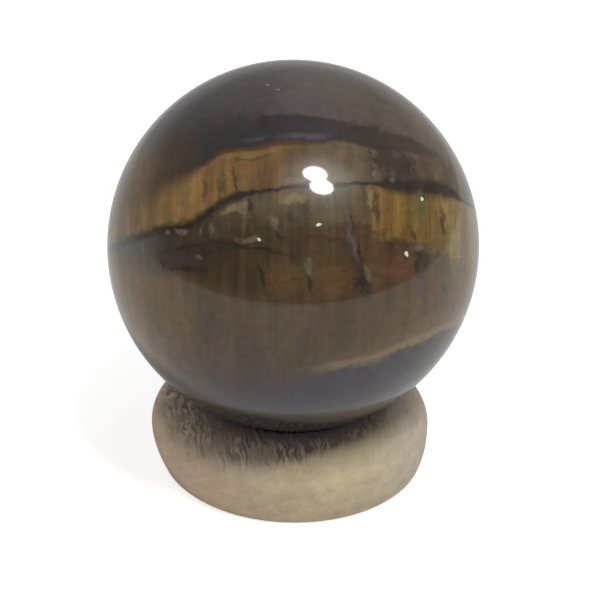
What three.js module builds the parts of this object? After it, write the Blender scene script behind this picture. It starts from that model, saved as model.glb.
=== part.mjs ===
// A polished stone ball resting in a small turned wooden ring.
// Millimetres, +Z up. The origin is the centre of the ring's foot, on the surface that it stands on.
import * as THREE from "three";

// Driving dimensions
const BALL_DIAMETER = 40;
const RING_DIAMETER = 30.8; // across the belly, where the ring is widest
const RING_HEIGHT = 8.4; // foot to crest
const BELLY_HEIGHT = 4.3; // height of the widest circle
const FOOT_DIAMETER = 28.8; // outer edge of the flat foot, before its edge is eased
const CREST_DIAMETER = 18.8; // the ring's highest circle, the outer edge of the seat
const BORE_DIAMETER = 16;
const EASED_EDGE = 0.4; // rounding where the foot meets the wall and the bore
const SEAT_GAP = 0.15; // clearance between the ball and the seat turned to fit it

// Faceting
const BALL_MERIDIANS = 64;
const BALL_PARALLELS = 32;
const RING_FACETS = 80;
const WALL_STEPS = 4; // foot to belly
const SHOULDER_STEPS = 7; // belly to crest
const SEAT_STEPS = 2; // crest to bore

const STONE_BROWN = 0x4f3a24;
const BARE_WOOD = 0xb4a185;

// The ball touches the ring along the seat, so the crest sets how high it sits.
const ballRadius = BALL_DIAMETER / 2;
const seatRadius = ballRadius + SEAT_GAP;
const crestRadius = CREST_DIAMETER / 2;
const ballHeight = RING_HEIGHT + Math.sqrt(seatRadius ** 2 - crestRadius ** 2);

// three.js turns its round shapes about Y, so each is tipped up to stand along Z.
function upright(geometry) {
  return geometry.rotateX(Math.PI / 2);
}

function stoneBall() {
  const geometry = upright(new THREE.SphereGeometry(ballRadius, BALL_MERIDIANS, BALL_PARALLELS));
  const polish = new THREE.MeshStandardMaterial({ color: STONE_BROWN, roughness: 0.06, metalness: 0 });
  const ball = new THREE.Mesh(geometry, polish);
  ball.name = "stone_ball";
  ball.position.z = ballHeight;
  return ball;
}

// The ring's section as (radius, height) points, once round: foot, belly, shoulder, seat, bore.
function ringSection() {
  const bellyRadius = RING_DIAMETER / 2;
  const footRadius = FOOT_DIAMETER / 2;
  const boreRadius = BORE_DIAMETER / 2;
  const points = [];
  const add = (radius, height) => points.push(new THREE.Vector2(radius, height));

  add(boreRadius + EASED_EDGE, 0);
  add(footRadius - EASED_EDGE, 0);
  // The wall swells from the foot to the belly along a parabola.
  for (let i = 0; i < WALL_STEPS; i++) {
    const height = EASED_EDGE + ((BELLY_HEIGHT - EASED_EDGE) * i) / WALL_STEPS;
    const below = 1 - height / BELLY_HEIGHT;
    add(bellyRadius - (bellyRadius - footRadius) * below ** 2, height);
  }
  // The shoulder is a quarter of an ellipse, upright at the belly and level at the crest.
  for (let i = 0; i <= SHOULDER_STEPS; i++) {
    const angle = (Math.PI / 2) * (i / SHOULDER_STEPS);
    add(
      crestRadius + (bellyRadius - crestRadius) * Math.cos(angle),
      BELLY_HEIGHT + (RING_HEIGHT - BELLY_HEIGHT) * Math.sin(angle),
    );
  }
  // The seat is dished to the ball, from the crest in to the bore.
  for (let i = 1; i <= SEAT_STEPS; i++) {
    const radius = crestRadius + ((boreRadius - crestRadius) * i) / SEAT_STEPS;
    add(radius, ballHeight - Math.sqrt(seatRadius ** 2 - radius ** 2));
  }
  add(boreRadius, EASED_EDGE);
  points.push(points[0].clone());
  return points;
}

function woodenRing() {
  const geometry = upright(new THREE.LatheGeometry(ringSection(), RING_FACETS));
  const wood = new THREE.MeshStandardMaterial({ color: BARE_WOOD, roughness: 0.75, metalness: 0 });
  const ring = new THREE.Mesh(geometry, wood);
  ring.name = "wooden_ring_stand";
  return ring;
}

const ornament = new THREE.Group();
ornament.add(woodenRing(), stoneBall());

export default ornament;
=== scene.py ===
import itertools
import math

import bpy
import numpy as np
from mathutils import Matrix, Vector


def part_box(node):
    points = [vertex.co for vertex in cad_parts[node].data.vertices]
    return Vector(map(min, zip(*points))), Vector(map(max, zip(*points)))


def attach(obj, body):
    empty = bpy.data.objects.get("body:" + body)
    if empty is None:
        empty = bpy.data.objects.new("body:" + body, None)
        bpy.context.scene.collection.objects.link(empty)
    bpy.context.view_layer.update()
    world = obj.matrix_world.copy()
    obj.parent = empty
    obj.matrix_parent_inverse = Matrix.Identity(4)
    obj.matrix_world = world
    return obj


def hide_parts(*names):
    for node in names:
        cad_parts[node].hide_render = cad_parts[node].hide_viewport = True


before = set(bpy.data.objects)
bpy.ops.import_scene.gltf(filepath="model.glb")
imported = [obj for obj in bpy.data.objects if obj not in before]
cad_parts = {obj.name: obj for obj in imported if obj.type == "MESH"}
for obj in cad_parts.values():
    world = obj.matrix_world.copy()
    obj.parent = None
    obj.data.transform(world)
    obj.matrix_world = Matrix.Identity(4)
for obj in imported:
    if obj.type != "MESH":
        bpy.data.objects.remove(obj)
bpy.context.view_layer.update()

MM = 0.001

# Wooden ring stand
# A small ring turned from pale, fine-grained wood and left bare, with its grain running front to back.
# The wall is sanded. Round the seat the end grain is torn into short fibres, with painted shade in the
# hollows between them, and greyer and darker close round the ball. Painted shade darkens the foot.
ring_low, ring_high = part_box("wooden_ring_stand")
ball_low, ball_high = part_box("stone_ball")
BALL_RADIUS = (ball_high.z - ball_low.z) / 2
BALL_HEIGHT = (ball_high.z + ball_low.z) / 2
BELLY_RADIUS = ring_high.x
RING_HEIGHT = ring_high.z
BELLY_HEIGHT = 4.3 * MM
FOOT_RADIUS = 14.4 * MM
CREST_RADIUS = 9.4 * MM
BORE_RADIUS = 8.0 * MM
EASED_EDGE = 0.4 * MM
SEAT_GAP = 0.15 * MM
RING_COLUMNS = 1024

TEAR_REACH = 13.1 * MM  # how far out from the axis the torn end grain runs
TEAR_LEAN = 0.2  # further out on the left, nearer in on the right, by this share of the way across
TEAR_LEAN_REACH = 8 * MM  # up to this far across
TEAR_RAGGED = 4 * MM  # over what length its edge wanders
TEAR_HEIGHT = 0.09 * MM  # from the bottom of a tear to the tip of a fibre
FIBRE_WIDTH = 0.17 * MM
FIBRE_LENGTH = 1.0 * MM
FIBRE_TURN = math.radians(12)  # the fibres run out to the right by this
FIBRE_CURL = 0.28 * MM  # how far a fibre bends aside
FIBRE_BEND = 0.9 * MM  # over what length it bends
CLUMP_SIZE = 1.8 * MM  # the fibres stand up in clumps of this size
FLAT_DEPTH = 0.6  # how deep the wood lies between clumps, as a share of a tear
FLAT_FIBRE = 0.25  # how much of the fibres shows there
SANDING_WAVE = 0.06 * MM  # how far hand sanding left the wall out of true
SANDING_LENGTH = 5.5 * MM  # from one hollow to the next
FOOT_SHIFT = 0.28 * MM  # how far the foot was turned off centre, to the right
FOOT_EASE = 0.8 * MM  # the relief fades out this far above the floor
GROWTH_RING = 1.7 * MM
GROWTH_CENTRE = (6 * MM, 0, -16 * MM)  # where the tree's heart ran, along the grain

# The wood's display colours
PLAIN_WOOD = (190, 174, 145)
WARM_WOOD = (202, 185, 152)
LEFT_WOOD = (202, 178, 153)
RIGHT_WOOD = (200, 187, 167)
HAIRLINE_TONE = (140, 122, 96)
# Painted shade: a darker band along the foot, where the ring stands on the floor
FLECK_TONE = (132, 108, 80)
FOOT_SHADE_TONE = (120, 98, 76)
FIBRE_TONE = (198, 182, 162)
# Painted shade: the colour deep in the hollows between the torn fibres
TEAR_SHADE_TONE = (130, 113, 101)
# Greyer and darker on the torn wood close round the ball
NEAR_BALL_TONE = (147, 133, 139)  # on the torn wood next to the ball
NEAR_BALL_REACH = 12.2 * MM  # out from the axis
NEAR_BALL_FULL = 10.6 * MM
# How high the painted shade along the foot reaches, and below what height it is full
FOOT_SHADE_REACH = 0.45 * MM  # up from the floor
FOOT_SHADE_FULL = 0.1 * MM


def ring_section():
    """The ring's section, once round, as radius and height: a flat foot, a wall that swells to the belly
    as a parabola, a shoulder that is a quarter of an ellipse, a seat dished to the ball, and a straight
    bore."""

    def run(start, stop, steps):
        """Even steps from the start, the stop itself left out."""
        return np.linspace(start, stop, steps, endpoint=False)

    foot = run(BORE_RADIUS + EASED_EDGE, FOOT_RADIUS - EASED_EDGE, 5)
    wall = run(EASED_EDGE, BELLY_HEIGHT, 24)
    wall_radius = BELLY_RADIUS - (BELLY_RADIUS - FOOT_RADIUS) * (1 - wall / BELLY_HEIGHT) ** 2
    ease = run(0, math.pi / 2, 4)
    ease_radius = FOOT_RADIUS - EASED_EDGE + (wall_radius[0] - FOOT_RADIUS + EASED_EDGE) * np.sin(ease)
    ease_height = EASED_EDGE * (1 - np.cos(ease))
    turn = run(0, math.pi / 2, 48)
    shoulder_radius = CREST_RADIUS + (BELLY_RADIUS - CREST_RADIUS) * np.cos(turn)
    shoulder_height = BELLY_HEIGHT + (RING_HEIGHT - BELLY_HEIGHT) * np.sin(turn)
    seat = run(CREST_RADIUS, BORE_RADIUS, 6)
    seat_height = BALL_HEIGHT - np.sqrt((BALL_RADIUS + SEAT_GAP) ** 2 - seat**2)
    bore = run(seat_height[-1], EASED_EDGE, 5)
    radius = [foot, ease_radius, wall_radius, shoulder_radius, seat, np.full_like(bore, BORE_RADIUS)]
    height = [np.zeros_like(foot), ease_height, wall, shoulder_height, seat_height, bore]
    return np.concatenate(radius), np.concatenate(height)


def smooth_noise(points, seed):
    """Random values at the whole-number corners of a 3-D grid, blended smoothly between them, 0 to 1."""
    table = np.random.default_rng(seed).random(1 << 16)
    corner = np.floor(points).astype(np.int64)
    share = points - corner
    share = share * share * (3 - 2 * share)
    total = np.zeros(points.shape[:-1])
    for step in itertools.product((0, 1), repeat=3):
        key = (corner + step) @ np.array([73856093, 19349663, 83492791])
        weight = np.prod(np.where(step, share, 1 - share), axis=-1)
        total += weight * table[key & 0xFFFF]
    return total


def rise(values, low, high):
    """0 below low, 1 above high and a smooth S between them."""
    share = np.clip((values - low) / (high - low), 0, 1)
    return share * share * (3 - 2 * share)


def add_mesh(name, points, faces):
    """A smooth-shaded mesh object at the origin from its points and faces."""
    mesh = bpy.data.meshes.new(name)
    mesh.from_pydata(points.reshape(-1, 3).tolist(), [], faces)
    mesh.polygons.foreach_set("use_smooth", np.ones(len(mesh.polygons), dtype=bool))
    made = bpy.data.objects.new(name, mesh)
    bpy.context.scene.collection.objects.link(made)
    return made


def ring_surface():
    """The section carried round the axis, then lifted along its own normal by the relief: torn fibres on
    the shoulder, drawn out near the grain (Y), curled and in clumps, and a slow sanding wave, with the foot
    a little off centre. Returns the points on a grid of columns and rows, how torn the wood is at each of
    them, and how deep between the fibres it is, both 0 to 1."""
    radius, height = ring_section()
    out_radius = np.roll(height, -1) - np.roll(height, 1)
    out_height = np.roll(radius, 1) - np.roll(radius, -1)
    length = np.hypot(out_radius, out_height)
    out_radius, out_height = out_radius / length, out_height / length
    angle = np.linspace(0, 2 * math.pi, RING_COLUMNS, endpoint=False)[:, None]
    cosine, sine = np.cos(angle), np.sin(angle)
    points = np.stack([radius * cosine, radius * sine, height + 0 * angle], axis=-1)
    normals = np.stack([out_radius * cosine, out_radius * sine, out_height + 0 * angle], axis=-1)

    cosine_turn, sine_turn = math.cos(FIBRE_TURN), math.sin(FIBRE_TURN)
    turn = np.array([[cosine_turn, -sine_turn, 0], [sine_turn, cosine_turn, 0], [0, 0, 1]])
    curl = (smooth_noise(points / FIBRE_BEND, 7) - 0.5) * 2 * FIBRE_CURL
    along_grain = np.array([FIBRE_WIDTH, FIBRE_LENGTH, 4 * FIBRE_LENGTH])
    curled = (points @ turn + curl[..., None] * [1, 0, 0]) / along_grain
    fibre = 0.65 * smooth_noise(curled, 3) + 0.35 * smooth_noise(curled * 2.1, 4)
    ragged = smooth_noise(curled / 2, 5) + 2 * smooth_noise(points / TEAR_RAGGED, 6)
    leaning = np.clip(points[..., 0], -TEAR_LEAN_REACH, TEAR_LEAN_REACH) * TEAR_LEAN
    outer_edge = TEAR_REACH + (ragged - 1.5) * MM - leaning
    above_belly = rise(points[..., 2], BELLY_HEIGHT, BELLY_HEIGHT + 1.2 * MM)
    off_bore = rise(radius + 0 * angle, BORE_RADIUS, CREST_RADIUS)
    torn = above_belly * off_bore * rise(outer_edge - radius, -0.7 * MM, 1.0 * MM)
    clump = rise(smooth_noise(points / CLUMP_SIZE, 9), 0.25, 0.6)
    shown = FLAT_FIBRE + (1 - FLAT_FIBRE) * clump
    depth = FLAT_DEPTH + (rise(fibre, 0.64, 0.36) - FLAT_DEPTH) * shown
    wave = smooth_noise(points / SANDING_LENGTH, 8) - 0.5
    on_floor = rise(points[..., 2], 0, FOOT_EASE)
    lift = -torn * depth * TEAR_HEIGHT + wave * SANDING_WAVE
    points = points + normals * (lift * on_floor)[..., None]
    points[..., 0] += FOOT_SHIFT * rise(points[..., 2], BELLY_HEIGHT, 0)
    return points, torn, depth


def wrapped_faces(columns, rows):
    """The quads of a grid that closes on itself both ways."""
    column, row = np.meshgrid(np.arange(columns), np.arange(rows), indexing="ij")
    here = column * rows + row
    up = column * rows + (row + 1) % rows
    beside = (column + 1) % columns * rows + row
    across = (column + 1) % columns * rows + (row + 1) % rows
    return np.stack([here, beside, across, up], axis=-1).reshape(-1, 4).tolist()


def tint(red, green, blue):
    """The linear colour of a display colour given from 0 to 255."""
    share = np.array([red, green, blue]) / 255
    linear = np.where(share < 0.04045, share / 12.92, ((share + 0.055) / 1.055) ** 2.4)
    return (*linear.tolist(), 1.0)


class Flow:
    """One value running through a material's nodes. Arithmetic on it adds Math nodes."""

    def __init__(self, tree, socket=None):
        self.tree = tree
        self.socket = socket

    def node(self, kind, settings, sockets, output=0):
        """Adds a node: its settings first, with a curve's points or a ramp's stops, then its sockets."""
        made = self.tree.nodes.new(kind)
        for name, value in settings.items():
            if name == "points":
                curve = made.mapping.curves[0]
                for _ in value[2:]:
                    curve.points.new(0.5, 0.5)
                for point, place in zip(curve.points, value):
                    point.location = place
                made.mapping.update()
            elif name == "stops":
                ends = made.color_ramp.elements
                ends[0].position, ends[1].position = value[0][0], value[-1][0]
                ends[0].color, ends[1].color = value[0][1], value[-1][1]
                for place, colour in value[1:-1]:
                    ends.new(place).color = colour
            else:
                setattr(made, name, value)
        for name, value in sockets.items():
            if isinstance(value, Flow):
                self.tree.links.new(value.socket, made.inputs[name])
            else:
                made.inputs[name].default_value = value
        return Flow(self.tree, made.outputs[output])

    def math(self, operation, *values):
        """One Math node on these values."""
        return self.node("ShaderNodeMath", {"operation": operation}, dict(enumerate(values)))

    def __add__(self, other):
        return self.math("ADD", self, other)

    def __radd__(self, other):
        return self.math("ADD", other, self)

    def __sub__(self, other):
        return self.math("SUBTRACT", self, other)

    def __rsub__(self, other):
        return self.math("SUBTRACT", other, self)

    def __mul__(self, other):
        return self.math("MULTIPLY", self, other)

    def __rmul__(self, other):
        return self.math("MULTIPLY", other, self)

    def __truediv__(self, other):
        return self.math("DIVIDE", self, other)

    def __rtruediv__(self, other):
        return self.math("DIVIDE", other, self)

    def __abs__(self):
        return self.math("ABSOLUTE", self)

    def rise(self, low, high):
        """0 below low, 1 above high and a smooth S between them. Falls instead where high is below low."""
        sockets = {"Value": self, "From Min": low, "From Max": high}
        return self.node("ShaderNodeMapRange", {"interpolation_type": "SMOOTHSTEP"}, sockets)

    def part(self, axis):
        """One part, X, Y or Z, of this vector."""
        return self.node("ShaderNodeSeparateXYZ", {}, {"Vector": self}, output=axis)

    def stretch(self, x, y, z):
        """This vector with its three parts multiplied."""
        return self.node("ShaderNodeVectorMath", {"operation": "MULTIPLY"}, {0: self, 1: (x, y, z)})

    def less(self, offset):
        """This vector with a fixed one taken off."""
        return self.node("ShaderNodeVectorMath", {"operation": "SUBTRACT"}, {0: self, 1: offset})

    def times_plus(self, times, plus):
        """This vector with its three parts multiplied by a number, and another vector added."""
        sockets = {0: self, 1: (times,) * 3, 2: plus}
        return self.node("ShaderNodeVectorMath", {"operation": "MULTIPLY_ADD"}, sockets)

    def length(self):
        """How long this vector is."""
        return self.node("ShaderNodeVectorMath", {"operation": "LENGTH"}, {0: self}, output="Value")

    def noise(self, scale, detail=2.0, roughness=0.5, output=0):
        """Noise from 0 to 1 at this vector."""
        sockets = {"Vector": self, "Scale": scale, "Detail": detail, "Roughness": roughness}
        return self.node("ShaderNodeTexNoise", {}, sockets, output)

    def blend(self, under, over):
        """The colour under where this mask is 0, over where it is 1."""
        sockets = {0: self, 6: under, 7: over}
        return self.node("ShaderNodeMix", {"data_type": "RGBA"}, sockets, output=2)

    def dye(self, colour):
        """A colour multiplied by this one."""
        settings = {"data_type": "RGBA", "blend_type": "MULTIPLY"}
        return self.node("ShaderNodeMix", settings, {0: 1.0, 6: colour, 7: self}, output=2)

    def shade(self, colour, low, high):
        """A colour made darker or lighter by this value: times low at 0, times high at 1."""
        return (self * (high - low) + low).dye(colour)


def new_finish(name):
    """An empty material: its start for expressions, and its shader node."""
    material = bpy.data.materials.new(name)
    material.use_nodes = True
    return material, Flow(material.node_tree), material.node_tree.nodes["Principled BSDF"]


def finish_shader(start, shader, values, links):
    """Sets a shader's plain values, then links what varies."""
    for name, value in values.items():
        shader.inputs[name].default_value = value
    for name, flow in links.items():
        start.tree.links.new(flow.socket, shader.inputs[name])


def bare_wood():
    """Pale wood: slow patches of warmer and pinker tone, growth rings about the tree's heart, fine grain
    lines along Y, small dark flecks, painted shade along the foot, and on the torn fibres painted shade
    deep in the hollows between them, greyer and darker close round the ball."""
    material, start, shader = new_finish("bare_wood")
    place = start.node("ShaderNodeTexCoord", {}, {}, output="Object")
    torn = start.node("ShaderNodeAttribute", {"attribute_name": "torn"}, {}, output="Fac")
    depth = start.node("ShaderNodeAttribute", {"attribute_name": "depth"}, {}, output="Fac")
    growth = start.node(
        "ShaderNodeTexWave",
        {"wave_type": "RINGS", "rings_direction": "Y", "wave_profile": "SAW"},
        {
            "Vector": place.less(GROWTH_CENTRE), "Scale": 0.1 * math.pi / GROWTH_RING,
            "Distortion": 1.6, "Detail": 2.0, "Detail Scale": 0.6,
        },
        output="Fac",
    )
    patch = place.noise(140.0).rise(0.35, 0.68)
    mottle = place.stretch(1.0, 0.4, 1.0).noise(700.0, 3.0)
    grain = place.stretch(1.0, 0.12, 1.0).noise(2600.0, 3.0)
    fleck = place.stretch(1.0, 0.25, 1.0).noise(1700.0, 1.0).rise(0.7, 0.8)
    hairline = abs(place.stretch(1.0, 0.6, 1.0).noise(330.0, 3.0) - 0.5).rise(0.022, 0.004)
    hairline = hairline * place.noise(230.0).rise(0.5, 0.6)
    side = place.part("X")
    # painted shade along the foot: full at the floor, gone a little higher up
    foot_shade = place.part("Z").rise(FOOT_SHADE_REACH, FOOT_SHADE_FULL)
    near_ball = place.stretch(1, 1, 0).length().rise(NEAR_BALL_REACH, NEAR_BALL_FULL)
    colour = patch.blend(tint(*PLAIN_WOOD), tint(*WARM_WOOD))
    colour = side.rise(4 * MM, -14 * MM).blend(colour, tint(*LEFT_WOOD))
    colour = side.rise(6 * MM, 15 * MM).blend(colour, tint(*RIGHT_WOOD))
    colour = growth.shade(colour, 0.96, 1.03)
    colour = mottle.shade(colour, 0.8, 1.2)
    colour = grain.shade(colour, 0.88, 1.12)
    colour = (hairline * 0.16).blend(colour, tint(*HAIRLINE_TONE))
    colour = (fleck * 0.35).blend(colour, tint(*FLECK_TONE))
    # paint the shade along the foot
    colour = (foot_shade * 0.35).blend(colour, tint(*FOOT_SHADE_TONE))
    # the torn wood: pale on the fibres, painted shade deep in the hollows between them
    torn_wood = depth.blend(tint(*FIBRE_TONE), tint(*TEAR_SHADE_TONE))
    # greyer and darker close round the ball
    torn_wood = (near_ball * 0.8).blend(torn_wood, tint(*NEAR_BALL_TONE))
    colour = (torn * 0.95).blend(colour, torn_wood)
    finish_shader(
        start,
        shader,
        {"IOR": 1.45, "Specular IOR Level": 0.3},
        {"Base Color": colour, "Roughness": 0.62 + 0.25 * grain},
    )
    return material


ring_points, ring_torn, ring_depth = ring_surface()
ring = add_mesh("turned_wood_ring", ring_points, wrapped_faces(*ring_points.shape[:2]))
for layer_name, layer in (("torn", ring_torn), ("depth", ring_depth)):
    attribute = ring.data.attributes.new(layer_name, "FLOAT", "POINT")
    attribute.data.foreach_set("value", layer.astype(np.float32).ravel())
ring.data.materials.append(bare_wood())
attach(ring, "root")
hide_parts("wooden_ring_stand")

# Stone ball
# A ball of tiger's eye, quartz grown through with fine fibres, ground round and polished to a mirror.
# Golden and blue-black bands run through it, with fibres upright in them. It rests loose in the ring.
BALL_COLUMNS = 256
BALL_ROWS = 128
STONE_LEAN = math.radians(28.5)  # the bands' upright leans back by this
STONE_ROLL = math.radians(1.1)  # and to the left by this
LEVEL = Vector((1, 0, 0))
LEANING = Vector((0, math.sin(STONE_LEAN), math.cos(STONE_LEAN)))
ACROSS = LEVEL * math.cos(STONE_ROLL) + LEANING * math.sin(STONE_ROLL)
UPRIGHT = LEANING * math.cos(STONE_ROLL) - LEVEL * math.sin(STONE_ROLL)
TOWARD = ACROSS.cross(UPRIGHT)  # out of the ball, to the front

# Seams under the bands as (across, upright) points, in ball radii from its centre
CAP_SEAM = [
    (-1.0, 0.45), (-0.66, 0.56), (-0.45, 0.64), (-0.22, 0.67), (0.0, 0.67), (0.24, 0.64), (0.45, 0.6),
    (0.63, 0.55), (0.77, 0.47), (1.0, 0.38),
]
DARK_SEAM = [
    (-1.0, 0.06), (-0.73, 0.25), (-0.59, 0.32), (-0.45, 0.41), (-0.34, 0.47), (-0.22, 0.48),
    (-0.07, 0.51), (0.14, 0.52), (0.26, 0.53), (0.36, 0.51), (0.54, 0.48), (0.71, 0.46), (0.82, 0.43),
    (1.0, 0.34),
]
GOLD_SEAM = [
    (-1.0, -0.03), (-0.87, 0.03), (-0.76, 0.07), (-0.57, 0.11), (-0.47, 0.145), (-0.34, 0.23),
    (-0.24, 0.265), (-0.12, 0.29), (0.07, 0.31), (0.34, 0.315), (0.49, 0.315), (0.7, 0.3), (0.81, 0.28),
    (0.87, 0.25), (1.0, 0.19),
]
SILK_SEAM = [
    (-1.0, -0.1), (-0.7, 0.0), (-0.45, 0.06), (-0.3, 0.11), (-0.15, 0.14), (0.0, 0.15), (0.2, 0.13),
    (0.3, 0.11), (0.42, 0.06), (0.6, 0.015), (0.87, -0.06), (1.0, -0.1),
]
LENS_SEAM = [
    (-1.0, -0.13), (-0.71, -0.05), (-0.5, 0.0), (-0.39, 0.015), (-0.29, 0.005), (-0.09, -0.03),
    (0.2, -0.1), (1.0, -0.2),
]
AMBER_SEAM = [
    (-1.0, -0.06), (-0.7, -0.13), (-0.5, -0.17), (-0.3, -0.23), (-0.1, -0.27), (0.1, -0.29),
    (0.3, -0.27), (0.5, -0.2), (0.7, -0.15), (1.0, -0.1),
]
BROWN_SEAM = [
    (-1.0, -0.56), (-0.5, -0.66), (0.05, -0.65), (0.21, -0.63), (0.34, -0.61), (0.44, -0.58),
    (0.55, -0.53), (0.76, -0.455), (1.0, -0.35),
]

# What each band's colour is along it, as (across, display colour) stops
CAP_TONES = [
    (-0.6, (60, 54, 55)), (-0.2, (70, 61, 61)), (0.05, (86, 77, 75)), (0.45, (84, 72, 60)),
    (0.75, (100, 86, 70)),
]
DARK_TONES = [
    (-0.8, (106, 85, 56)), (-0.66, (74, 58, 41)), (-0.45, (48, 42, 39)), (-0.1, (48, 42, 45)),
    (0.15, (55, 48, 51)), (0.4, (58, 46, 37)), (0.62, (67, 55, 46)), (0.8, (91, 80, 65)),
]
GOLD_TONES = [
    (-0.9, (128, 102, 64)), (-0.74, (122, 95, 53)), (-0.58, (142, 109, 64)), (-0.44, (126, 95, 53)),
    (-0.25, (118, 88, 48)), (0.0, (96, 72, 38)), (0.25, (109, 91, 70)), (0.5, (95, 78, 57)),
    (0.8, (94, 78, 57)),
]
SILK_TONES = [
    (-0.9, (106, 95, 80)), (-0.65, (66, 55, 43)), (-0.4, (72, 58, 41)), (-0.22, (97, 81, 57)),
    (0.0, (101, 84, 58)), (0.18, (94, 82, 58)), (0.35, (98, 82, 55)), (0.49, (142, 108, 54)),
    (0.66, (118, 95, 52)), (0.74, (138, 112, 62)), (0.9, (136, 115, 76)),
]
AMBER_TONES = [
    (-0.9, (106, 95, 80)), (-0.65, (66, 55, 42)), (-0.42, (68, 54, 36)), (-0.2, (74, 59, 40)),
    (0.05, (80, 63, 43)), (0.25, (82, 62, 41)), (0.5, (89, 67, 45)), (0.75, (104, 86, 60)),
    (0.92, (118, 102, 73)),
]
BROWN_TONES = [
    (-0.85, (126, 101, 70)), (-0.65, (105, 84, 57)), (-0.4, (88, 70, 50)), (0.0, (86, 68, 46)),
    (0.4, (88, 67, 45)), (0.75, (104, 81, 54)), (0.9, (118, 97, 70)),
]
SLATE_TONES = [(-0.5, (60, 55, 55)), (0.0, (70, 65, 73)), (0.45, (70, 65, 73)), (0.7, (75, 74, 72))]

STRIPE_TONE = (132, 116, 84)  # above the brown band's seam
SEAT_TONE = (36, 31, 34)  # in the ring's shade
SEAT_TOP = -0.52  # where the shade starts, in ball radii above the centre
SEAT_FULL = -0.6
THREAD_TONE = (34, 27, 26)  # along the gold band's seam
CRACK_TONE = (48, 38, 33)  # in the back

# Lines beside a seam. Each has how far above the seam it runs, half its width, where across it starts and
# stops, how long it takes to fade, how much of it covers the band, and its display colour
VEINS = {
    "right blue": (0.036, 0.022, -0.06, 0.16, 0.06, 0.5, (90, 86, 97)),
    "left blue": (0.05, 0.018, -0.24, -0.14, 0.05, 0.5, (82, 78, 84)),
    "rust": (0.004, 0.02, -0.44, 0.1, 0.08, 0.8, (80, 50, 26)),
    "bright gold": (-0.024, 0.016, -0.36, 0.0, 0.06, 0.25, (148, 115, 67)),
    "dark gold": (-0.046, 0.01, -0.3, -0.14, 0.03, 0.6, (76, 55, 28)),
    "lens edge": (0.0, 0.016, -0.66, -0.04, 0.06, 0.75, (44, 36, 28)),
    "straw": (0.018, 0.036, 0.12, 1.0, 0.14, 0.5, (146, 130, 98)),
    # Painted highlight: a pale line just above the gold seam where the soft boxes' highlight sits, standing
    # for its glow
    "painted highlight glow": (0.024, 0.02, -0.06, 0.22, 0.05, 0.42, (134, 121, 104)),
}

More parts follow.
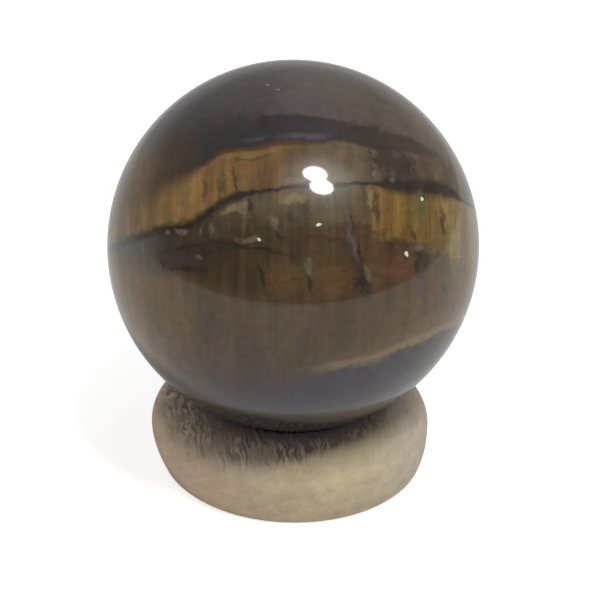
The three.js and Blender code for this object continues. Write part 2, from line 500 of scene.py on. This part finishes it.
# Marks in the front of the stone. Each kind has a display colour, how much of it covers the band at most,
# and rows of (across, upright, half its length, half its width, lean in degrees)
MARK_DEPTH = 0.5
MARK_WAVER = 0.07  # how far their edges stray
STAINS = {
    # Painted reflection: a soft pale grey patch at the left edge, standing for something grey mirrored in
    # the polish
    "painted grey reflection": ((92, 88, 82), 0.45, [(-0.9, -0.02, 0.2, 0.12, 0)]),
    "amber": ((104, 77, 47), 0.62, [(-0.04, -0.16, 0.15, 0.14, 90), (0.19, -0.17, 0.14, 0.14, 90)]),
    "olive": (
        (96, 86, 61),
        0.6,
        [(0.16, 0.16, 0.14, 0.09, 0), (-0.15, 0.19, 0.1, 0.07, 90), (0.64, 0.2, 0.14, 0.05, 90)],
    ),
    "red": ((104, 70, 50), 0.75, [(0.52, -0.11, 0.15, 0.085, 5)]),
    "plum": (
        (66, 52, 50),
        0.75,
        [
            (-0.58, -0.07, 0.14, 0.075, -8), (0.3, -0.03, 0.15, 0.06, -74),
            (0.65, 0.32, 0.08, 0.022, -3), (0.77, 0.29, 0.06, 0.018, -8),
        ],
    ),
    "faint plum": ((80, 66, 62), 0.5, [(0.65, -0.19, 0.11, 0.05, 90), (0.8, -0.2, 0.13, 0.04, 90)]),
    "shadow": (
        (50, 41, 38),
        0.85,
        [
            (0.48, 0.44, 0.15, 0.12, -20), (0.56, 0.41, 0.13, 0.095, -35), (0.65, -0.08, 0.1, 0.06, 90),
            (-0.38, -0.01, 0.13, 0.05, 8), (0.35, -0.17, 0.14, 0.045, -80),
        ],
    ),
    "brown smear": (
        (62, 47, 36),
        0.6,
        [
            (0.01, -0.05, 0.07, 0.04, 90), (0.17, 0.04, 0.15, 0.024, -3), (0.54, 0.01, 0.13, 0.022, -3),
            (0.06, 0.18, 0.08, 0.034, 90), (-0.36, 0.3, 0.12, 0.03, 88), (-0.45, 0.29, 0.1, 0.026, 90),
            (-0.36, -0.07, 0.11, 0.06, 0), (-0.42, -0.01, 0.18, 0.06, 8),
        ],
    ),
    "pale streak": (
        (140, 121, 86),
        0.75,
        [
            (-0.29, 0.19, 0.1, 0.026, 20), (0.0, 0.24, 0.08, 0.042, 0), (0.39, 0.25, 0.08, 0.026, -85),
            (0.83, 0.02, 0.08, 0.04, 90),
        ],
    ),
    "faint streak": (
        (114, 103, 88),
        0.64,
        [
            (-0.64, 0.06, 0.026, 0.018, 0), (-0.57, 0.07, 0.04, 0.016, 4),
            (-0.47, -0.06, 0.026, 0.022, 60), (-0.1, 0.12, 0.06, 0.026, -55),
            (0.08, -0.1, 0.06, 0.028, -80), (0.64, -0.01, 0.03, 0.018, 0),
            (-0.25, 0.18, 0.034, 0.022, 10), (0.41, 0.37, 0.024, 0.018, 0), (0.5, 0.34, 0.026, 0.02, 0),
            (0.37, -0.13, 0.06, 0.022, -75), (-0.46, 0.07, 0.045, 0.013, 80),
            (-0.41, 0.08, 0.045, 0.013, -85), (-0.23, 0.03, 0.1, 0.022, 0),
        ],
    ),
    "grey crack": ((94, 88, 82), 0.7, [(0.27, 0.17, 0.09, 0.022, -82), (0.3, 0.02, 0.13, 0.024, -77)]),
    "fine crack": (
        (38, 29, 24),
        0.6,
        [
            (-0.21, 0.2, 0.06, 0.016, -80), (0.61, 0.05, 0.07, 0.018, -78),
            (0.77, 0.13, 0.11, 0.016, -83), (0.09, -0.19, 0.09, 0.02, -72),
            (-0.16, -0.15, 0.11, 0.016, -78), (-0.06, 0.05, 0.055, 0.015, -51),
            (-0.67, -0.09, 0.06, 0.016, -52), (-0.55, -0.12, 0.14, 0.016, -4),
            (-0.3, 0.33, 0.11, 0.012, -86), (0.42, 0.19, 0.15, 0.024, -86),
            (0.67, 0.26, 0.05, 0.014, -93), (0.29, 0.12, 0.12, 0.012, -80),
            (0.33, -0.02, 0.1, 0.012, -75),
        ],
    ),
}
# Painted glints: near-white spots where cracks inside the stone catch the light, and dimmer pale specks on
# the cap
GLINTS = {
    "bright": (
        (250, 243, 228),
        0.8,
        [
            (0.13, 0.11, 0.02, 0.012, 0), (0.66, 0.24, 0.016, 0.01, 90), (0.57, -0.04, 0.017, 0.009, 85),
            (-0.17, 0.03, 0.012, 0.01, 0),
        ],
    ),
    "speck": ((140, 132, 120), 0.6, [(-0.13, 0.84, 0.012, 0.012, 0), (-0.07, 0.81, 0.012, 0.01, 0)]),
}


def ball_surface():
    """A globe: rows of latitude between two poles and columns of longitude, each point at the ball's radius
    from its centre. Returns its points, with the poles last, and its faces."""
    latitude = np.linspace(-math.pi / 2, math.pi / 2, BALL_ROWS + 1)[1:-1]
    longitude = np.linspace(0, 2 * math.pi, BALL_COLUMNS, endpoint=False)[:, None]
    wide = np.cos(latitude)
    globe = np.stack(
        [wide * np.cos(longitude), wide * np.sin(longitude), np.sin(latitude) + 0 * longitude], axis=-1
    )
    poles = np.array([[0, 0, -1], [0, 0, 1]])
    points = np.concatenate([globe.reshape(-1, 3), poles]) * BALL_RADIUS + [0, 0, BALL_HEIGHT]
    rows = BALL_ROWS - 1
    column, row = np.meshgrid(np.arange(BALL_COLUMNS), np.arange(rows - 1), indexing="ij")
    here = column * rows + row
    beside = (column + 1) % BALL_COLUMNS * rows + row
    quads = np.stack([here, beside, beside + 1, here + 1], axis=-1)
    first = np.arange(BALL_COLUMNS) * rows
    second = np.roll(first, -1)
    south_pole = np.full_like(first, BALL_COLUMNS * rows)
    south = np.stack([second, first, south_pole], axis=-1)
    north = np.stack([first + rows - 1, second + rows - 1, south_pole + 1], axis=-1)
    return points, quads.reshape(-1, 4).tolist() + south.tolist() + north.tolist()


def polished_stone():
    """Bands between the seams, run on through the ball and bent at its back, each with its own colours and
    upright fibres, then the marks in the front and cracks in the back, all under a mirror polish. Some of
    the colour is painted light: a grey reflection at the left edge, a glow beside the highlight, glints,
    and shade low where the ball sits in the ring."""
    material, start, shader = new_finish("polished_stone")
    place = start.node("ShaderNodeTexCoord", {}, {}, output="Object")
    axes = Matrix((ACROSS, UPRIGHT, TOWARD)).transposed().to_euler()
    stone = start.node(
        "ShaderNodeMapping",
        {"vector_type": "TEXTURE"},
        {"Vector": place, "Location": (0, 0, BALL_HEIGHT), "Rotation": axes, "Scale": (BALL_RADIUS,) * 3},
    )
    across, upright, toward = stone.part("X"), stone.part("Y"), stone.part("Z")
    drawn = stone.stretch(1, 0.06, 0.4)
    fibre = drawn.noise(40.0, 3.0, 0.6).rise(0.28, 0.72)
    column = drawn.noise(13.0, 2.0).rise(0.3, 0.7)
    cloud = stone.noise(4.5, 3.0).rise(0.25, 0.75)
    strand = abs(drawn.noise(19.0, 2.0) - 0.5).rise(0.12, 0.02) * (0.3 + 0.7 * cloud)
    mottle = stone.stretch(1, 1.6, 1).noise(16.0, 4.0, 0.6).rise(0.25, 0.75)
    grit = stone.stretch(1, 0.6, 1).noise(34.0, 3.0, 0.65).rise(0.25, 0.75)
    behind = toward.rise(0.25, -0.45)
    bend = behind * (stone.noise(1.4, 1.0) - 0.5) * 0.9
    level = upright + bend + (cloud - 0.5) * 0.016
    along = across * 0.5 + 0.5

    def above(seam, fray=0.0):
        """How far above a seam, which the mottle frays."""
        curve = [((x + 1) / 2, (y + 1) / 2) for x, y in seam]
        height = start.node("ShaderNodeFloatCurve", {"points": curve}, {"Value": along})
        return level - (height * 2 - 1) + (mottle - 0.5) * fray

    def band(tones, fibres, columns, strands):
        """A band's colours along it, with light and dark fibres, columns of them and thin dark strands."""
        stops = [((x + 1) / 2, tint(*tone)) for x, tone in tones]
        colour = start.node("ShaderNodeValToRGB", {"stops": stops}, {"Fac": along})
        colour = fibre.shade(colour, 1 - fibres, 1 + fibres)
        colour = column.shade(colour, 1 - columns, 1 + columns)
        return strand.shade(colour, 1, 1 - strands)

    def between(low, high, ease):
        """1 between two places across, falling to 0 outside them."""
        return across.rise(low - ease, low + ease) * across.rise(high + ease, high - ease)

    def with_vein(colour, over_seam, name):
        """A colour with one of the veins drawn along a seam."""
        offset, width, low, high, ease, cover, tone = VEINS[name]
        line = abs(over_seam - offset).rise(width, width * 0.2) * between(low, high, ease)
        return (line * cover).blend(colour, tint(*tone))

    over_dark = above(DARK_SEAM, 0.012)
    over_gold = above(GOLD_SEAM, 0.016)
    over_brown = above(BROWN_SEAM, 0.016)
    colour = band(DARK_TONES, 0.06, 0.08, 0.05)
    cap_edge = above(CAP_SEAM, 0.02) / (0.014 + 0.09 * across.rise(-0.1, -0.35))
    colour = cap_edge.rise(-1, 1).blend(colour, band(CAP_TONES, 0.04, 0.05, 0.03))
    colour = with_vein(colour, over_dark, "right blue")
    colour = with_vein(colour, over_dark, "left blue")
    gold_edge = over_dark / (0.012 + 0.06 * across.rise(-0.42, -0.62))
    colour = gold_edge.rise(1, -1).blend(colour, band(GOLD_TONES, 0.07, 0.2, 0.12))
    colour = with_vein(colour, over_dark, "rust")
    colour = with_vein(colour, over_dark, "bright gold")
    colour = with_vein(colour, over_dark, "dark gold")
    colour = over_gold.rise(0.012, -0.012).blend(colour, band(SILK_TONES, 0.12, 0.26, 0.26))
    silk_edge = above(SILK_SEAM, 0.06) / (0.04 + 0.05 * across.rise(0.35, 0.2))
    colour = silk_edge.rise(1, -1).blend(colour, band(AMBER_TONES, 0.09, 0.2, 0.2))
    over_lens = above(LENS_SEAM, 0.02)
    colour = with_vein(colour, over_lens, "lens edge")
    over_amber = above(AMBER_SEAM, 0.06)
    colour = over_amber.rise(0.05, -0.05).blend(colour, band(BROWN_TONES, 0.06, 0.16, 0.1))
    stripe = (over_brown / 0.14).rise(1, 0.15) * across.rise(-0.1, 0.5)
    colour = (stripe * 0.3).blend(colour, tint(*STRIPE_TONE))
    colour = with_vein(colour, over_brown, "straw")
    slate_edge = over_brown / (0.03 + 0.14 * across.rise(0.25, -0.15))
    colour = slate_edge.rise(0.7, -0.9).blend(colour, band(SLATE_TONES, 0.03, 0.05, 0.05))
    height = (place.part("Z") - BALL_HEIGHT) / BALL_RADIUS
    seated = height.rise(SEAT_TOP, SEAT_FULL)
    colour = (seated * 0.85).blend(colour, tint(*SEAT_TONE))
    # painted glow beside the soft boxes' highlight
    colour = with_vein(colour, over_gold, "painted highlight glow")
    thread = 0.013 + 0.022 * across.rise(-0.12, -0.35) + 0.042 * between(0.46, 0.84, 0.08)
    thread = (abs(over_gold + 0.006) / thread).rise(1.2, 0.2) * (0.9 - 0.15 * across.rise(-0.2, -0.5))
    colour = thread.blend(colour, tint(*THREAD_TONE))

    waver = stone.noise(12.0, 5.0, output="Color").less((0.5, 0.5, 0.5)).times_plus(MARK_WAVER, stone)

    def inside(marks):
        """1 at the middle of any of these marks, falling to 0 at its edge."""
        nearest = 0.0
        for x, y, length, width, lean in marks:
            middle = (x, y, math.sqrt(max(0, 1 - x * x - y * y)))
            spread = (length, width, MARK_DEPTH)
            turn = (0, 0, math.radians(lean))
            sockets = {"Vector": waver, "Location": middle, "Rotation": turn, "Scale": spread}
            mark = start.node("ShaderNodeMapping", {"vector_type": "TEXTURE"}, sockets)
            round_fall = {"gradient_type": "SPHERICAL"}
            mark = start.node("ShaderNodeTexGradient", round_fall, {"Vector": mark}, output="Fac")
            nearest = mark.math("MAXIMUM", mark, nearest)
        return nearest

    # the stains, one of them a painted grey reflection
    for tone, cover, marks in STAINS.values():
        broken = inside(marks) * (0.4 + 1.2 * grit)
        colour = (broken.rise(0, 0.75) * cover).blend(colour, tint(*tone))
    crack = abs(stone.stretch(2.4, 0.5, 2.4).noise(4.0, 2.0) - 0.5).rise(0.014, 0.002)
    crack = crack * behind * stone.noise(3.0, 1.0).rise(0.5, 0.6)
    colour = (crack * 0.7).blend(colour, tint(*CRACK_TONE))
    colour = mottle.shade(colour, 0.88, 1.12)
    colour = stone.noise(9.0, 4.0, output="Color").times_plus(0.36, (0.82, 0.82, 0.82)).dye(colour)
    # paint the glints
    for tone, cover, marks in GLINTS.values():
        colour = (inside(marks).rise(0, 0.4) * cover).blend(colour, tint(*tone))
    finish_shader(
        start,
        shader,
        {"IOR": 1.54, "Specular IOR Level": 0.4, "Coat Roughness": 0.35},
        {"Base Color": colour, "Roughness": 0.04 + 0.03 * cloud, "Coat Weight": 0.3 * (1 - seated)},
    )
    return material


ball = add_mesh("polished_stone_ball", *ball_surface())
ball.data.materials.append(polished_stone())
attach(ball, "root")
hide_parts("stone_ball")

# Table top and light
# A round of white card under the object, two oval soft boxes high in front of it, and a plain room that is
# bright overhead, with a pale sweep low behind the object and dim sides.
CARD_RADIUS = 300 * MM
CARD_FADE = 70 * MM  # how wide its rim fades away
CARD_CORNERS = 128
CARD_GREY = (0.75, 0.75, 0.75, 1)
CARD_GLOW = 0.67  # how far the camera sees it lifted to white
CARD_LIFT = 0.2  # how much of that lights the object
LAMP_DISTANCE = 600 * MM
LAMP_WIDE = 142 * MM
LAMP_TALL = 98 * MM
LAMP_POWER = 0.95  # watts
LAMP_DIRECTIONS = [Vector((0.194, -0.291, 0.937)), Vector((0.263, -0.406, 0.875))]
ROOM_DIM = 0.1
ROOM_OVERHEAD = 0.2
ROOM_TILT = (0, 0.35, 1)  # which way overhead is
ROOM_SWEEP = 0.3
ROOM_SWEEP_FALL = 0.2  # how much dimmer the sweep is on the right
ROOM_FILL = 0.22  # soft light that the polish doesn't mirror
SPILL = 1.6  # glow round the soft boxes, seen in the polish
SPILL_CENTRE = (0.266, -0.31, 0.913)
SPILL_SHAPE = (2.0, 3.6, 3.6)  # narrower as these grow


def white_card():
    """Pale card whose rim fades away, lifted to white where the camera itself looks at it."""
    material, start, shader = new_finish("white_card")
    seen = start.node("ShaderNodeLightPath", {}, {}, output="Is Camera Ray")
    mirrored = start.node("ShaderNodeLightPath", {}, {}, output="Is Glossy Ray")
    lifted = seen + (1 - seen) * (1 - mirrored) * CARD_LIFT
    place = start.node("ShaderNodeTexCoord", {}, {}, output="Object")
    finish_shader(
        start,
        shader,
        {
            "Base Color": CARD_GREY, "Roughness": 0.8, "Specular IOR Level": 0.1,
            "Emission Strength": CARD_GLOW,
        },
        {"Alpha": place.length().rise(CARD_RADIUS, CARD_RADIUS - CARD_FADE), "Emission Color": lifted},
    )
    return material


card_angle = np.linspace(0, 2 * math.pi, CARD_CORNERS, endpoint=False)
card_rim = np.stack([np.cos(card_angle), np.sin(card_angle), 0 * card_angle], axis=-1) * CARD_RADIUS
card = add_mesh("table_top", card_rim, [list(range(len(card_rim)))])
card.data.materials.append(white_card())

ball_centre = Vector((0, 0, BALL_HEIGHT))
for number, direction in enumerate(LAMP_DIRECTIONS):
    lamp = bpy.data.lights.new(f"soft_box_{number}", "AREA")
    lamp.shape = "ELLIPSE"
    lamp.size = LAMP_WIDE
    lamp.size_y = LAMP_TALL
    lamp.energy = LAMP_POWER
    holder = bpy.data.objects.new(f"soft_box_{number}", lamp)
    wide = (LEVEL - direction * LEVEL.dot(direction)).normalized()
    facing = Matrix((wide, direction.cross(wide), direction)).transposed()
    holder.matrix_world = Matrix.Translation(ball_centre + direction * LAMP_DISTANCE) @ facing.to_4x4()
    bpy.context.scene.collection.objects.link(holder)

room = bpy.data.worlds.new("room")
room.use_nodes = True
bpy.context.scene.world = room
air = Flow(room.node_tree)
direction = air.node("ShaderNodeTexCoord", {}, {}, output="Generated")
overhead = air.node(
    "ShaderNodeVectorMath", {"operation": "DOT_PRODUCT"}, {0: direction, 1: ROOM_TILT}, output="Value"
)
sweep = direction.part("Z").rise(0.35, -0.05) * direction.part("Y").rise(-0.5, 0.2)
sweep = sweep * (ROOM_SWEEP - ROOM_SWEEP_FALL * direction.part("X").rise(0.3, 0.9))
brightness = ROOM_DIM + overhead.rise(0.1, 0.8) * ROOM_OVERHEAD + sweep
spill = direction.less(SPILL_CENTRE).stretch(*SPILL_SHAPE).length().rise(1.1, 0.3) * SPILL
mirrored = air.node("ShaderNodeLightPath", {}, {}, output="Is Glossy Ray")
seen = air.node("ShaderNodeLightPath", {}, {}, output="Is Camera Ray")
room_light = seen + (1 - seen) * (brightness + mirrored * spill + (1 - mirrored) * ROOM_FILL)
room.node_tree.links.new(room_light.socket, room.node_tree.nodes["Background"].inputs["Color"])
bpy.context.scene.view_settings.view_transform = "Standard"

# Camera
# A long lens looking down on the ball from the front, with the ball's centre a little high in the frame.
IMAGE_SIDE = 600
BALL_IN_IMAGE = (293.2, 245.9)  # pixels from the image's left and top
FOCAL_PIXELS = 2600
CAMERA_DISTANCE = 14 * BALL_RADIUS

camera = bpy.data.cameras.new("camera")
camera.sensor_width = 36
camera.lens = FOCAL_PIXELS / IMAGE_SIDE * camera.sensor_width
camera.clip_start = 0.01
aside = (BALL_IN_IMAGE[0] - IMAGE_SIDE / 2) / FOCAL_PIXELS
above = (IMAGE_SIDE / 2 - BALL_IN_IMAGE[1]) / FOCAL_PIXELS
forward = -(TOWARD + ACROSS * aside + UPRIGHT * above).normalized()
right = (ACROSS - forward * ACROSS.dot(forward)).normalized()
up = right.cross(forward)
camera_holder = bpy.data.objects.new("camera", camera)
turned = Matrix((right, up, -forward)).transposed()
camera_holder.matrix_world = Matrix.Translation(ball_centre + TOWARD * CAMERA_DISTANCE) @ turned.to_4x4()
bpy.context.scene.collection.objects.link(camera_holder)
bpy.context.scene.camera = camera_holder
